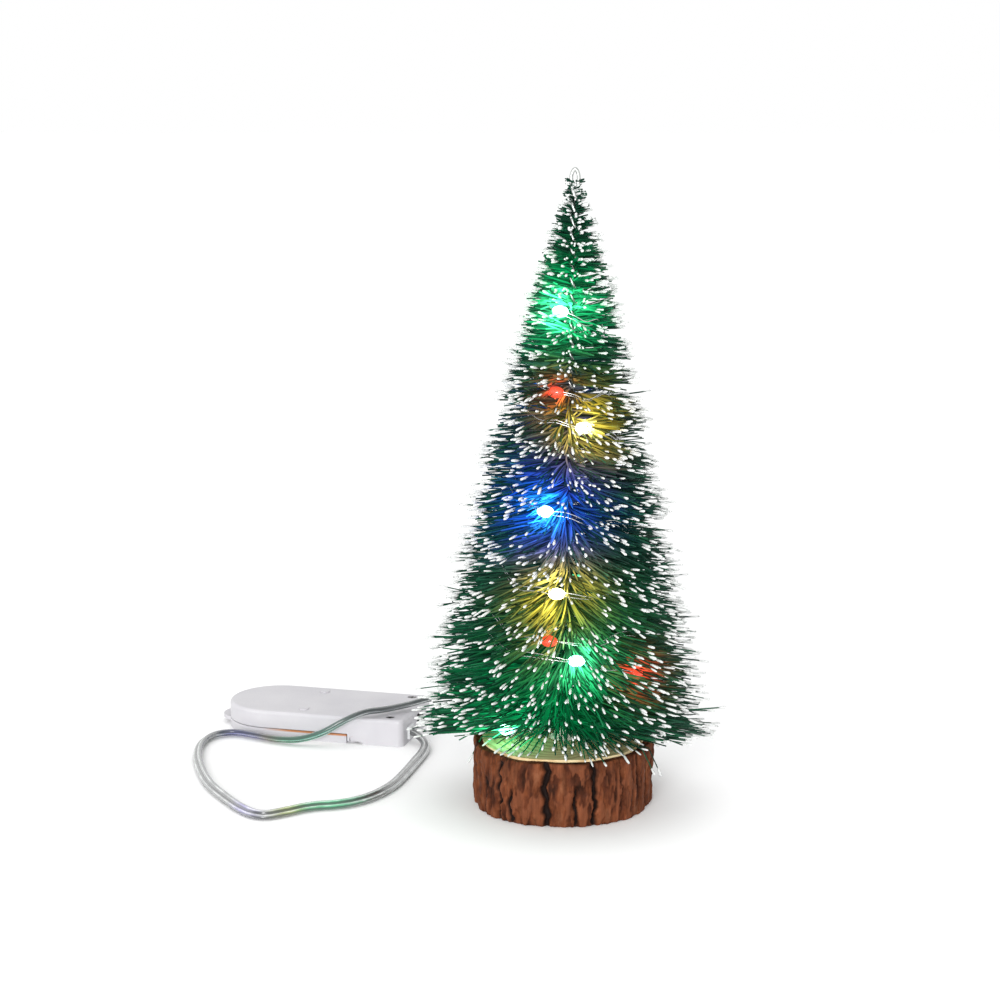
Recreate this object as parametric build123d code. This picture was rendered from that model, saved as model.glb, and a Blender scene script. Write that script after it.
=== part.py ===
from build123d import *
import math
import os

# Miniature bottle-brush tree in a log slice, wound with a string of micro lamps, and joined by a
# flat twin lead to a coin-cell battery box. Millimetres, +Z up. The origin is the middle of the
# log slice's underside, and the viewer stands on the -Y side.

# ---------------------------------------------------------------- driving dimensions
BASE_RADIUS = 27.0        # log slice over its bark
BASE_HEIGHT = 20.0
BARK_THICKNESS = 2.8
BARK_BELOW_TOP = 0.7      # the bark stops this far under the wood's sawn top
STEM_HOLE_RADIUS = 1.7
STEM_HOLE_DEPTH = 14.0

STEM_FOOT_X = -0.4        # where the stem's axis meets the floor
STEM_LEAN = 0.95          # degrees, top towards +X
STEM_WIRE_DIAMETER = 1.1
TWIST_PITCH = 8.5
STEM_TOP = 185.0
TREE_TOP = 191.0          # top of the stem wire's loop, along the stem

BRUSH_BOTTOM = 24.0
BRUSH_TOP = 187.0
BRUSH_RADIUS = 43.6       # at the lowest bristles
BRUSH_BULGE = 0.77        # exponent of the taper: 1 would be a straight cone
TIER_PITCH = TWIST_PITCH
TIER_DEPTH = 2.6

STRING_DIAMETER = 1.2
STRING_DEPTH = 0.62       # share of the brush's radius at which the string lies
LAMP_LENGTH = 5.0
LAMP_DIAMETER = 3.4
CHIP_SIZE = (1.6, 0.8, 0.6)

LEAD_WIDTH = 3.6
SPLICE_LENGTH = 7.0
SPLICE_DIAMETER = 4.4

BOX_LENGTH = 64.0
BOX_WIDTH = 32.0
BOX_HEIGHT = 8.8
BOX_WALL = 1.4
BOX_CENTRE = (-77.1, 77.5)
BOX_TURN = -15.1          # degrees about +Z
COVER_THICKNESS = 1.2
COVER_RIM_TOP = 2.9
SEAM_GAP = 0.25
HINGE_X = 14.8            # along the box, from its middle
HINGE_Z = 1.6
BARREL_RADIUS = 1.6
TRUNNION_RADIUS = 0.8
HINGE_CLEARANCE = 0.05
CELL_DIAMETER = 20.0
CELL_THICKNESS = 3.2
CELL_BOTTOM = 3.3
CELL_CEILING = 7.3        # underside of the housing's top over the cells
CELL_PLACES = (-18.0, 2.8)
KNOB_TRAVEL = 2.5
EXIT_Y = -8.5             # across the box, where the lead leaves its end
EXIT_Z = 3.4
SWITCH_Y = 3.5
SWITCH_Z = 4.9
SCREW_SEAT = 7.7          # height of the ledge under the screws' heads
SCREW_PLACES = ((26.7, -12.2), (26.7, 12.2))
BOSS_PLACES = ((-3.4, -10.5), (-3.4, 10.5))

TREE = Location((STEM_FOOT_X, 0, 0), (0, STEM_LEAN, 0))
BOX = Location((BOX_CENTRE[0], BOX_CENTRE[1], 0), (0, 0, BOX_TURN))

# The string's climb: (degrees turned clockwise from the front, height on the stem).
STRING_CLIMB = (
    (-125, 36), (-59, 43.4), (-7, 50), (373, 55.5), (729, 69.3),
    (1103, 92.7), (1425, 117), (1821, 127), (2185, 150), (2215, 152),
)
STRING_STEP = 30          # degrees between the string's corners
# From the splice to the first turn, in the tree's frame: down to the lowest lamp, then back past the stem.
FIRST_LAMP = (-17.0, -9.0, 24.6)
STRING_START = ((-19.8, -3.6, 27.4), FIRST_LAMP, (-9.0, -10.6, 24.8), (-0.4, -6.4, 27.0), (8.0, 1.0, 30.4))
LAMP_TURNS = {
    "red": (-59, 373, 905, 1821),
    "green": (-7, 545, 2185),
    "yellow": (729, 1262, 1425),
    "blue": (170, 1103, 1600),
}

# The lead's corners from the battery box's end, round its loop on the floor, over the box and into
# the brush.
LEAD_ROUTE = (
    (-47.6, 60.7, 3.4), (-44.2, 56.4, 2.9), (-42.5, 50.2, 2.2), (-43.0, 43.2, 1.8), (-45.6, 34.6, 1.8),
    (-48.9, 20.5, 1.8), (-53.2, 6.0, 1.8), (-59.6, -5.6, 1.8), (-68.2, -11.6, 1.8), (-76.8, -14.6, 1.8),
    (-84.2, -19.2, 1.8), (-91.6, -19.4, 1.8), (-97.9, -15.6, 1.8), (-103.0, -6.0, 1.8), (-108.4, 8.6, 1.8),
    (-112.8, 24.6, 1.8), (-115.4, 40.0, 1.8), (-116.2, 53.6, 1.8), (-112.8, 60.4, 1.8), (-106.4, 64.2, 1.8),
    (-99.0, 63.9, 1.8), (-92.0, 59.6, 1.8), (-84.0, 55.4, 2.2), (-75.8, 53.2, 5.6), (-68.4, 53.6, 10.8),
    (-61.4, 56.8, 14.4), (-54.4, 61.6, 14.5), (-47.2, 66.2, 14.5), (-39.9, 68.1, 14.8), (-32.9, 65.7, 15.4),
    (-28.4, 60.2, 16.8), (-27.6, 53.0, 18.6), (-30.6, 41.8, 21.4), (-33.1, 28.6, 24.8), (-32.7, 16.8, 27.2),
    (-28.7, 8.8, 28.6), (-23.7, 2.7, 29.4),
)


# ---------------------------------------------------------------- helpers
def save(node, shape):
    """Write one node's solids to its own STEP file."""
    shape.label = node
    export_step(shape, f"parts/{node}.step")


def group(solids):
    """Several separate solids as one shape."""
    return Compound(children=list(solids))


def placed_box(x_range, y_range, z_range):
    """An upright block from its lowest and highest coordinates."""
    size = [high - low for low, high in (x_range, y_range, z_range)]
    middle = [(low + high) / 2 for low, high in (x_range, y_range, z_range)]
    return Pos(*middle) * Box(*size)


def disc(x, y, z_low, z_high, radius):
    """An upright cylinder."""
    return Pos(x, y, (z_low + z_high) / 2) * Cylinder(radius, z_high - z_low)


def brush_radius(height):
    """Average radius of the bristle tips at a height on the stem."""
    share = (height - BRUSH_BOTTOM) / (BRUSH_TOP - BRUSH_BOTTOM)
    return BRUSH_RADIUS * max(1 - share, 0) ** BRUSH_BULGE


def corner_radii(points, keep=0.45):
    """One arc radius for each corner: as large as its two runs allow."""
    corners = [Vector(*p) for p in points]
    radii = []
    for before, here, after in zip(corners, corners[1:], corners[2:]):
        run_in, run_out = here - before, after - here
        turn = math.radians(run_in.get_angle(run_out))
        radii.append(keep * min(run_in.length, run_out.length) / math.tan(turn / 2))
    return radii


def tube(points, diameter):
    """A round tube along straight runs joined by tangent arcs."""
    path = FilletPolyline(*points, radius=corner_radii(points))
    start = Plane(origin=path @ 0, z_dir=path % 0)
    body = sweep(start * Circle(diameter / 2), path=path)
    expected = math.pi * diameter ** 2 / 4 * path.length
    print(f"tube of {path.length:.1f} mm: volume {body.volume:.1f} of {expected:.1f}",
          f"least radius {min(corner_radii(points)):.1f}")
    return body


def interpolate(knots, value):
    """Straight-line interpolation in a list of (value, result) pairs."""
    for (low, start), (high, end) in zip(knots, knots[1:]):
        if value <= high:
            return start + (end - start) * (value - low) / (high - low)
    return knots[-1][1]


# ---------------------------------------------------------------- log slice
def bark_radius(angle):
    """Radius of the log at an angle in degrees: nearly round, with gentle uneven lobes."""
    a = math.radians(angle)
    return BASE_RADIUS + 0.35 * math.sin(2 * a + 0.6) + 0.3 * math.sin(5 * a) + 0.22 * math.sin(9 * a + 1.2)


def log_outline(inset):
    points = []
    for angle in range(0, 360, 15):
        a, r = math.radians(angle), bark_radius(angle) - inset
        points.append((r * math.cos(a), r * math.sin(a)))
    return make_face(Spline(*points, periodic=True))


def stem_hole():
    depth_below_top = BASE_HEIGHT - STEM_HOLE_DEPTH
    return TREE * disc(0, 0, depth_below_top, BASE_HEIGHT + 5, STEM_HOLE_RADIUS)


def wood_disc():
    return extrude(log_outline(BARK_THICKNESS), BASE_HEIGHT) - stem_hole()


def bark_ring():
    """Bark with upright fissures of uneven width and depth."""
    height = BASE_HEIGHT - BARK_BELOW_TOP
    ring = extrude(log_outline(0), height) - extrude(log_outline(BARK_THICKNESS), BASE_HEIGHT)
    fissures = 17
    for i in range(fissures):
        angle = 360 / fissures * (i + 0.3 * math.sin(2.3 * i))
        depth = 0.9 + 0.5 * math.sin(1.7 * i) ** 2
        width = 1.6 + 0.7 * math.cos(2.9 * i)
        outer = bark_radius(angle) + 1.0
        wedge = Polyline((outer, -width), (outer - 1.0 - depth, 0), (outer, width), close=True)
        cut = extrude(make_face(wedge), height + 2)
        ring -= Rot(0, 0, angle) * Pos(0, 0, -1) * cut
    rim_slope = Pos(0, 0, height) * Cone(BASE_RADIUS + 4, BASE_RADIUS - 1.2, 5.2)
    return ring & (rim_slope + disc(0, 0, -1, height - 2.6, BASE_RADIUS + 4))


# ---------------------------------------------------------------- stem and bristles
def stem_wire():
    """One steel wire folded in half: two twisted legs joined by the loop at the top."""
    offset = STEM_WIRE_DIAMETER / 2 + 0.01
    foot = BASE_HEIGHT - STEM_HOLE_DEPTH + 0.3
    turns = round((STEM_TOP - foot) / TWIST_PITCH * 2) / 2
    height = turns * TWIST_PITCH
    legs = []
    for side in (0, 180):
        helix = Rot(0, 0, side) * Pos(0, 0, foot) * Helix(TWIST_PITCH, height, offset, lefthand=True)
        section = Plane(origin=helix @ 0, z_dir=helix % 0) * Circle(STEM_WIRE_DIAMETER / 2)
        legs.append(sweep(section, path=helix, is_frenet=True))
    top = foot + height
    side = -1 if round(turns * 2) % 2 else 1
    points = [(side * offset, 0, top), (side * 1.05, 0.1, top + 2.6), (side * 0.8, 0, TREE_TOP - 1.6),
              (0, 0, TREE_TOP - 0.6), (-side * 0.8, 0, TREE_TOP - 1.6), (-side * 1.05, -0.1, top + 2.6),
              (-side * offset, 0, top)]
    bend = Spline(*points)
    loop = sweep(Plane(origin=bend @ 0, z_dir=bend % 0) * Circle(STEM_WIRE_DIAMETER / 2), path=bend)
    return TREE * (legs[0] + legs[1] + loop)


def glue_bead():
    """The hot glue that fills the hole round the stem and stands up as a small dome."""
    bore = STEM_WIRE_DIAMETER + 0.02
    top = BASE_HEIGHT
    dome = Polyline((bore, top), (bore, top + 2.6), (bore + 0.5, top + 2.6), (4.2, top), close=True)
    plug = Pos(0, 0, top) * Cylinder(STEM_HOLE_RADIUS, STEM_HOLE_DEPTH,
                                     align=(Align.CENTER, Align.CENTER, Align.MAX))
    bead = revolve(Plane.XZ * make_face(dome), Axis.Z) + plug
    bead -= disc(0, 0, 0, top + 5, bore)
    return (TREE * bead) - wood_disc()


def bristle_brush():
    """The bristles' envelope: a bulging cone with a shallow step at each turn of the twisted stem."""
    bore = STEM_WIRE_DIAMETER - 0.02
    outline = [(bore, BRUSH_BOTTOM), (29.0, BRUSH_BOTTOM - 2.2), (brush_radius(BRUSH_BOTTOM) - 2, 17.0)]
    tiers = int((BRUSH_TOP - BRUSH_BOTTOM) / TIER_PITCH)
    for tier in range(tiers):
        low = BRUSH_BOTTOM + tier * TIER_PITCH
        high = low + TIER_PITCH
        step = TIER_DEPTH * (0.35 + 0.65 * (1 - tier / tiers))
        outline.append((brush_radius(low + 1.0), low - 1.0))
        outline.append((brush_radius(high) - step * 0.3, high - 2.0))
    outline += [(bore + 0.8, BRUSH_TOP), (bore, BRUSH_TOP)]
    return TREE * revolve(Plane.XZ * make_face(Polyline(*outline, close=True)), Axis.Z)


# ---------------------------------------------------------------- light string
def string_place(turned):
    """A point of the string's winding, in the tree's frame."""
    height = interpolate(STRING_CLIMB, turned)
    radius = STRING_DEPTH * brush_radius(height)
    a = math.radians(turned)
    return (-radius * math.sin(a), -radius * math.cos(a), height)


def string_wire():
    last = STRING_CLIMB[-1][0]
    turns = range(STRING_CLIMB[0][0], last, STRING_STEP)
    winding = list(STRING_START) + [string_place(turned) for turned in turns] + [string_place(last)]
    placed = [tuple((TREE * Pos(*p)).position) for p in winding]
    return tube([LEAD_ROUTE[-1]] + placed, STRING_DIAMETER)


def lamp_places(colour):
    """Location of each lamp of a colour, with X along the wire."""
    places = [TREE * Pos(*string_place(turned)) * Rot(0, 0, 180 - turned) for turned in LAMP_TURNS[colour]]
    if colour == "green":
        places.append(TREE * Pos(*FIRST_LAMP) * Rot(0, 0, -20))
    return places


def lamp_body():
    drop = scale(Sphere(LAMP_DIAMETER / 2), by=(LAMP_LENGTH / LAMP_DIAMETER, 1, 1))
    return drop - chip()


def chip():
    return Pos(0, 0, STRING_DIAMETER / 2 + CHIP_SIZE[2] / 2 - 0.05) * Box(*CHIP_SIZE)


def lamps(colour):
    return group(place * lamp_body() for place in lamp_places(colour))


def lamp_chips():
    return group(place * chip() for colour in LAMP_TURNS for place in lamp_places(colour))


# ---------------------------------------------------------------- lead
def lead():
    return tube(LEAD_ROUTE, LEAD_WIDTH)


def lead_splice():
    """Shrink sleeve over the lead's end and the first of the string wire."""
    end, before = Vector(*LEAD_ROUTE[-1]), Vector(*LEAD_ROUTE[-2])
    along = Plane(origin=end, z_dir=end - before)
    sleeve = Cylinder(SPLICE_DIAMETER / 2, SPLICE_LENGTH, align=(Align.CENTER, Align.CENTER, Align.MIN))
    sleeve = fillet(sleeve.edges().filter_by(GeomType.CIRCLE), 0.8)
    return along * Pos(0, 0, -SPLICE_LENGTH + 2.5) * sleeve


# ---------------------------------------------------------------- battery box
def box_outline(inset, right_inset=None):
    """Plan of the box, half round at its left end."""
    end = BOX_LENGTH / 2 - (inset if right_inset is None else right_inset)
    radius = BOX_WIDTH / 2 - inset
    centre = -BOX_LENGTH / 2 + BOX_WIDTH / 2
    straight = Pos((centre + end) / 2, 0) * Rectangle(end - centre, 2 * radius)
    return straight + Pos(centre, 0) * Circle(radius)


def end_wall_x():
    return BOX_LENGTH / 2 - BOX_WALL


def box_housing():
    """Upper shell: cell pockets open downwards, the switch room, the lead's hole and the hinge slots."""
    half = BOX_WIDTH / 2
    shell = extrude(box_outline(0), BOX_HEIGHT)
    upright = shell.edges().filter_by(Axis.Z).group_by(Axis.X)[-1]
    shell = fillet(upright, 2.0)
    shell = fillet(shell.faces().sort_by(Axis.Z)[-1].edges(), 1.1)
    for x, side in BOSS_PLACES:
        shell += disc(x, side, BOX_HEIGHT - 0.5, BOX_HEIGHT + 0.45, 1.6)
    seam = COVER_RIM_TOP + SEAM_GAP
    shell -= placed_box((-40, HINGE_X - BARREL_RADIUS), (-20, 20), (-1, seam))
    above_barrel = HINGE_Z + BARREL_RADIUS + 0.4
    inside = (-half + BOX_WALL, half - BOX_WALL)
    shell -= placed_box((HINGE_X - 2.0, end_wall_x() - 1.8), inside, (-1, above_barrel))
    for x in CELL_PLACES:
        shell -= disc(x, 0, 0, CELL_CEILING, CELL_DIAMETER / 2 + 0.25)
    shell -= placed_box(CELL_PLACES, (-3, 3), (0, CELL_CEILING))
    shell -= placed_box((16.2, end_wall_x()), inside, (-1, CELL_CEILING))
    for x, side in SCREW_PLACES:
        shell += disc(x, side, 3.0, CELL_CEILING + 0.2, 1.8)
        shell -= disc(x, side, 2.0, SCREW_SEAT + 1, 0.75)
        shell -= disc(x, side, SCREW_SEAT, BOX_HEIGHT + 1, 1.55)
    slot_half = TRUNNION_RADIUS + HINGE_CLEARANCE
    slots = placed_box((HINGE_X - slot_half, HINGE_X + slot_half), (-20, 20), (-1, HINGE_Z))
    slots += Pos(HINGE_X, 0, HINGE_Z) * Rot(90, 0, 0) * Cylinder(slot_half, 40)
    slots += placed_box((HINGE_X - 2.0, HINGE_X + 3.4), (-20, 20), (-1, 0.8))
    shell -= slots
    wall = (end_wall_x() - 1, BOX_LENGTH / 2 + 1)
    shell -= placed_box(wall, (EXIT_Y - 2.3, EXIT_Y + 2.3), (EXIT_Z - 2.2, EXIT_Z + 2.2))
    shell -= placed_box(wall, (SWITCH_Y - 3.2, SWITCH_Y + 3.2), (SWITCH_Z - 1.6, SWITCH_Z + 1.6))
    return BOX * shell


def end_plate():
    """Bottom plate of the switch room, with two posts that the screws bite."""
    half = BOX_WIDTH / 2 - BOX_WALL - 0.15
    near = HINGE_X + BARREL_RADIUS + 0.35
    plate = placed_box((near, end_wall_x() - 0.15), (-half, half), (0, COVER_THICKNESS))
    for x, side in SCREW_PLACES:
        plate += disc(x, side, 0, 2.9, 1.5)
    return BOX * (plate - screw_shanks())


def screw_shanks():
    return group(disc(x, side, COVER_THICKNESS, SCREW_SEAT, 0.7) for x, side in SCREW_PLACES)


def box_screws():
    """Pan-head screws with a cross recess, sunk in the housing's top."""
    screws = []
    for x, side in SCREW_PLACES:
        head = fillet(disc(x, side, SCREW_SEAT, SCREW_SEAT + 1, 1.45).edges().sort_by(Axis.Z)[-1], 0.4)
        cross = Pos(x, side, SCREW_SEAT + 0.9) * (Box(1.9, 0.4, 0.8) + Box(0.4, 1.9, 0.8))
        screws.append(head + disc(x, side, COVER_THICKNESS, SCREW_SEAT, 0.7) - cross)
    return BOX * group(screws)


def battery_cover():
    """Shallow tray with a finger tab at its round end and a barrel with trunnions at its hinge end."""
    tray_end = HINGE_X - BARREL_RADIUS - 0.3
    tray = extrude(box_outline(0, BOX_LENGTH / 2 - tray_end), COVER_RIM_TOP)
    tray -= extrude(Pos(0, 0, COVER_THICKNESS) * box_outline(BOX_WALL, BOX_LENGTH / 2 - tray_end - 2), 9)
    floor_half = BOX_WIDTH / 2 - BOX_WALL - 0.3
    tray += placed_box((tray_end - 2, HINGE_X), (-floor_half, floor_half), (0, COVER_THICKNESS))
    barrel = Pos(HINGE_X, 0, HINGE_Z) * Rot(90, 0, 0) * Cylinder(BARREL_RADIUS, 2 * floor_half)
    trunnions = Pos(HINGE_X, 0, HINGE_Z) * Rot(90, 0, 0) * Cylinder(TRUNNION_RADIUS, BOX_WIDTH - 0.6)
    tab = disc(-BOX_LENGTH / 2 + 3.6, 0, COVER_RIM_TOP - 1.2, COVER_RIM_TOP, 6.6)
    tab -= extrude(Pos(0, 0, COVER_THICKNESS) * box_outline(BOX_WALL), 9)
    return BOX * (tray + barrel + trunnions + tab)


def coin_cell(place):
    """Can with the smaller negative cap proud of its gasket; the two cells lie opposite ways up."""
    can = fillet(disc(0, 0, 0.3, CELL_THICKNESS, CELL_DIAMETER / 2).edges().sort_by(Axis.Z)[-1], 0.4)
    cell = can + disc(0, 0, 0, 0.5, CELL_DIAMETER / 2 - 1.3)
    if place == 1:
        cell = Pos(0, 0, CELL_THICKNESS) * Rot(180, 0, 0) * cell
    return BOX * Pos(CELL_PLACES[place], 0, CELL_BOTTOM) * cell


def leaf_spring(x, base, tip):
    """Bowed spring strip standing on a contact plate."""
    rise = tip - base
    profile = Polyline((x - 5, base), (x - 1.5, tip - 0.05), (x + 1.5, tip - 0.05), (x + 5, base),
                       (x + 4.2, base), (x + 1.2, tip - 0.3 - 0.05 * rise),
                       (x - 1.2, tip - 0.3 - 0.05 * rise), (x - 4.2, base), close=True)
    strip = extrude(Plane.XZ * make_face(profile), 3)
    return Pos(0, 1.5, 0) * strip


def series_link():
    """Plate in the cover's floor that joins the two cells."""
    plate_top = COVER_THICKNESS + 0.3
    link = placed_box((CELL_PLACES[0] - 7, CELL_PLACES[1] + 6), (-3.5, 3.5), (COVER_THICKNESS, plate_top))
    for x in CELL_PLACES:
        link += leaf_spring(x, plate_top, CELL_BOTTOM - 0.3)
    return BOX * link


def top_contact(place):
    """Strip on the housing's ceiling, dimpled down to its cell."""
    x = CELL_PLACES[place]
    strip = placed_box((x - 4, x + 4), (-2.2, 2.2), (CELL_CEILING - 0.3, CELL_CEILING))
    return BOX * (strip + disc(x, 0, CELL_BOTTOM + CELL_THICKNESS, CELL_CEILING - 0.3, 0.9))


def circuit_board():
    return BOX * placed_box((18.2, 22.4), (-9.0, 11.0), (3.4, 4.4))


def series_resistor():
    body = Pos(20.3, 0.5, 4.9) * Rot(90, 0, 0) * Cylinder(0.5, 3.2)
    return BOX * body


def switch_body():
    """Slide switch: metal frame with a slot towards the housing's end wall."""
    frame = placed_box((23.0, end_wall_x() - 0.2), (SWITCH_Y - 4.6, SWITCH_Y + 4.6), (3.1, 6.9))
    frame -= placed_box((25.0, 40), (SWITCH_Y - 3.1, SWITCH_Y + 3.1), (SWITCH_Z - 1.35, SWITCH_Z + 1.35))
    return BOX * frame


def switch_knob():
    middle = SWITCH_Y - KNOB_TRAVEL / 2
    tip = BOX_LENGTH / 2 + 1.1
    knob = placed_box((25.4, tip), (middle - 1.4, middle + 1.4), (SWITCH_Z - 1.0, SWITCH_Z + 1.0))
    for groove in (middle - 0.6, middle, middle + 0.6):
        knob -= placed_box((tip - 0.3, tip + 1), (groove - 0.1, groove + 0.1), (0, BOX_HEIGHT))
    return BOX * knob


def cord_clamp():
    """Grommet that fills the hole in the end wall; the lead starts at its outer face."""
    outside = BOX_LENGTH / 2 + 0.8
    inner = end_wall_x()
    low = EXIT_Z - 2.1
    core = placed_box((inner - 1.4, outside), (EXIT_Y - 2.2, EXIT_Y + 2.2), (low, EXIT_Z + 2.1))
    flange = placed_box((inner - 1.2, inner), (EXIT_Y - 3, EXIT_Y + 3), (low, EXIT_Z + 2.6))
    return BOX * (core + flange)


def lead_tails():
    """The lead's two bared strands, from the clamp to the circuit board."""
    tails = []
    for side, board_y in ((-1, -8.2), (1, -4.6)):
        strand_y = EXIT_Y + side
        points = ((end_wall_x() - 1.4, strand_y, EXIT_Z + 0.2), (26.0, strand_y, EXIT_Z + 0.3),
                  (24.0, board_y - 0.2 * side, 4.4), (22.0, board_y, 4.85))
        tails.append(tube(points, 0.9))
    return BOX * group(tails)


NODES = {
    "wood_disc": wood_disc,
    "bark_ring": bark_ring,
    "stem_wire": stem_wire,
    "glue_bead": glue_bead,
    "bristle_brush": bristle_brush,
    "string_wire": string_wire,
    "lamp_chips": lamp_chips,
    "lead": lead,
    "lead_splice": lead_splice,
    "box_housing": box_housing,
    "end_plate": end_plate,
    "box_screws": box_screws,
    "battery_cover": battery_cover,
    "series_link": series_link,
    "circuit_board": circuit_board,
    "series_resistor": series_resistor,
    "switch_body": switch_body,
    "switch_knob": switch_knob,
    "cord_clamp": cord_clamp,
    "lead_tails": lead_tails,
}

os.makedirs("parts", exist_ok=True)
print("lead corner radii:", [round(r, 1) for r in corner_radii(LEAD_ROUTE)])
for node, make in NODES.items():
    save(node, make())
for colour in LAMP_TURNS:
    save(f"lamps_{colour}", lamps(colour))
for place, name in enumerate(("outer", "inner")):
    save(f"coin_cell_{name}", coin_cell(place))
    save(f"top_contact_{name}", top_contact(place))
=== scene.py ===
"""An artificial tabletop tree with a string of battery lamps.

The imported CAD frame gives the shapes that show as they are; the bristles, bark, lamp wire and lead are built
here around it. Lengths are in mm until mesh_piece turns them into metres.
"""

import math

import bpy
import numpy as np
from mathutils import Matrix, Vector, noise


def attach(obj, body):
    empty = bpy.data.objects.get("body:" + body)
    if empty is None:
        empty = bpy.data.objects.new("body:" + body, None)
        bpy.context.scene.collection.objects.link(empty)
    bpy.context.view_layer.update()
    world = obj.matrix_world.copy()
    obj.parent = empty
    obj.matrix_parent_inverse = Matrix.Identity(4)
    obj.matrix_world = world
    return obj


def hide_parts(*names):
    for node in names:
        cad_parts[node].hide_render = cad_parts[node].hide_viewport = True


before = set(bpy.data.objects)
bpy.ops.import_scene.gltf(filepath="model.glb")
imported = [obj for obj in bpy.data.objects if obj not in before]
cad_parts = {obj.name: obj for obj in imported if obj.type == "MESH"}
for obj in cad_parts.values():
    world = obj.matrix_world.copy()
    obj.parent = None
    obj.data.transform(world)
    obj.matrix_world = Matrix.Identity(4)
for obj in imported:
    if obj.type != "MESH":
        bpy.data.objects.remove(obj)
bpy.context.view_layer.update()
MM = 0.001
rng = np.random.default_rng(41)

# The tree's own frame: a stem that leans a little to the right, as in the CAD. STEM_PITCH is one turn of
# its twist.
STEM_FOOT_X = -0.4
STEM_LEAN = math.radians(0.95)
STEM_PITCH = 8.5
BRUSH_BOTTOM = 24.0
BRUSH_TOP = 187.0
BRUSH_RADIUS = 43.6
BRUSH_BULGE = 0.77

# The log slice.
BASE_RADIUS = 27.0
BASE_HEIGHT = 20.0
BARK_TOP = 19.3
WOOD_RADIUS = 24.2

# The lamp string, wound round the brush at this share of its radius: degrees turned from the front and the
# height reached there.
STRING_DEPTH = 0.62
STRING_CLIMB = (
    (-125, 36.0), (-59, 43.4), (-7, 50.0), (373, 55.5), (729, 69.3), (1103, 92.7),
    (1425, 117.0), (1821, 127.0), (2185, 150.0), (2215, 152.0),
)
# From the splice, round the foot of the stem, to where the winding begins.
STRING_START = (
    (-19.8, -3.6, 27.4), (-17.0, -9.0, 24.6), (-9.0, -10.6, 24.8), (-0.4, -6.4, 27.0), (8.0, 1.0, 30.4),
)
WIRE_RADIUS = 0.18
WIRE_SPACING = 0.62

# Each lamp colour: beside the lamp, where its light has faded among the bristles, and its reach in mm.
RED = ((0.95, 0.06, 0.03), (0.70, 0.015, 0.01), 2.8)
GREEN = ((0.10, 1.0, 0.42), (0.0, 0.55, 0.15), 5.4)
YELLOW = ((1.0, 0.88, 0.26), (0.85, 0.60, 0.0), 3.8)
BLUE = ((0.02, 0.36, 1.0), (0.0, 0.06, 0.78), 5.0)
# Degrees turned along the string, colour, and how bright each lamp burns beside the others.
LAMPS = (
    (-59, RED, 1.3), (373, RED, 0.8), (905, RED, 0.5), (1821, RED, 0.9),
    (-7, GREEN, 1.0), (545, GREEN, 0.6), (2185, GREEN, 1.6),
    (729, YELLOW, 2.4), (1262, YELLOW, 0.6), (1425, YELLOW, 1.5),
    (170, BLUE, 0.6), (1103, BLUE, 2.2), (1600, BLUE, 0.6),
)
# One more green lamp, low on the first stretch.
FIRST_LAMP = STRING_START[1]
FIRST_POWER = 1.2
# Their numbers, with the first lamp last: the lamps on the front, and the two lowest green ones.
FRONT_LAMPS = (0, 1, 3, 4, 6, 7, 9, 11, 13)
LOW_GREEN_LAMPS = (4, 13)


# ---------------------------------------------------------------- node helpers

def material(name, **sockets):
    """A Principled material; sockets are constants set straight on the shader."""
    made = bpy.data.materials.new(name)
    made.use_nodes = True
    shader = made.node_tree.nodes["Principled BSDF"]
    for socket, value in sockets.items():
        shader.inputs[socket.replace("_", " ")].default_value = value
    return made, shader


def node(mat, kind, inputs=None, **settings):
    """One node, with its settings, and with its inputs given as constants or other nodes' outputs."""
    made = mat.node_tree.nodes.new("ShaderNode" + kind)
    for key, value in settings.items():
        setattr(made, key, value)
    for key, value in (inputs or {}).items():
        if isinstance(value, bpy.types.NodeSocket):
            mat.node_tree.links.new(value, made.inputs[key])
        else:
            made.inputs[key].default_value = value
    return made


def link(mat, output, target):
    """Join two sockets."""
    mat.node_tree.links.new(output, target)


def place(mat, scale=(1.0, 1.0, 1.0)):
    """Object coordinates, in metres, stretched by scale."""
    coordinates = node(mat, "TexCoord").outputs["Object"]
    return node(mat, "Mapping", {"Vector": coordinates, "Scale": scale}).outputs["Vector"]


def grain(mat, scale, detail=4.0, stretch=(1.0, 1.0, 1.0), rough=0.55):
    """A noise whose spots are about 1/scale metres across."""
    made = node(mat, "TexNoise", {
        "Vector": place(mat, stretch), "Scale": scale, "Detail": detail, "Roughness": rough,
    })
    return made.outputs["Fac"]


def spread(mat, value, low, high, to_low, to_high):
    """value, mapped from one range to another and clamped."""
    made = node(mat, "MapRange", {
        "Value": value, "From Min": low, "From Max": high, "To Min": to_low, "To Max": to_high,
    })
    return made.outputs["Result"]


def ramp(mat, value, *stops):
    """A colour ramp through (place, colour) stops."""
    made = node(mat, "ValToRGB", {"Fac": value})
    elements = made.color_ramp.elements
    while len(elements) < len(stops):
        elements.new(0.5)
    for element, (at, colour) in zip(elements, stops):
        element.position = at
        element.color = (*colour, 1.0)
    return made.outputs["Color"]


def mix(mat, factor, first, second, blend="MIX"):
    """Two colours mixed by factor; each is a constant or an output."""
    made = node(mat, "Mix", data_type="RGBA", blend_type=blend)
    for index, value in ((0, factor), (6, first), (7, second)):
        if isinstance(value, bpy.types.NodeSocket):
            link(mat, value, made.inputs[index])
        else:
            made.inputs[index].default_value = value if index == 0 else (*value, 1.0)
    return made.outputs[2]


def bump(mat, shader, height, strength, depth):
    """Small relief, depth in metres."""
    made = node(mat, "Bump", {"Height": height, "Strength": strength, "Distance": depth})
    link(mat, made.outputs["Normal"], shader.inputs["Normal"])


def attribute(mat, name):
    """A number or colour stored on the mesh by store()."""
    return node(mat, "Attribute", attribute_name=name)


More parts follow.
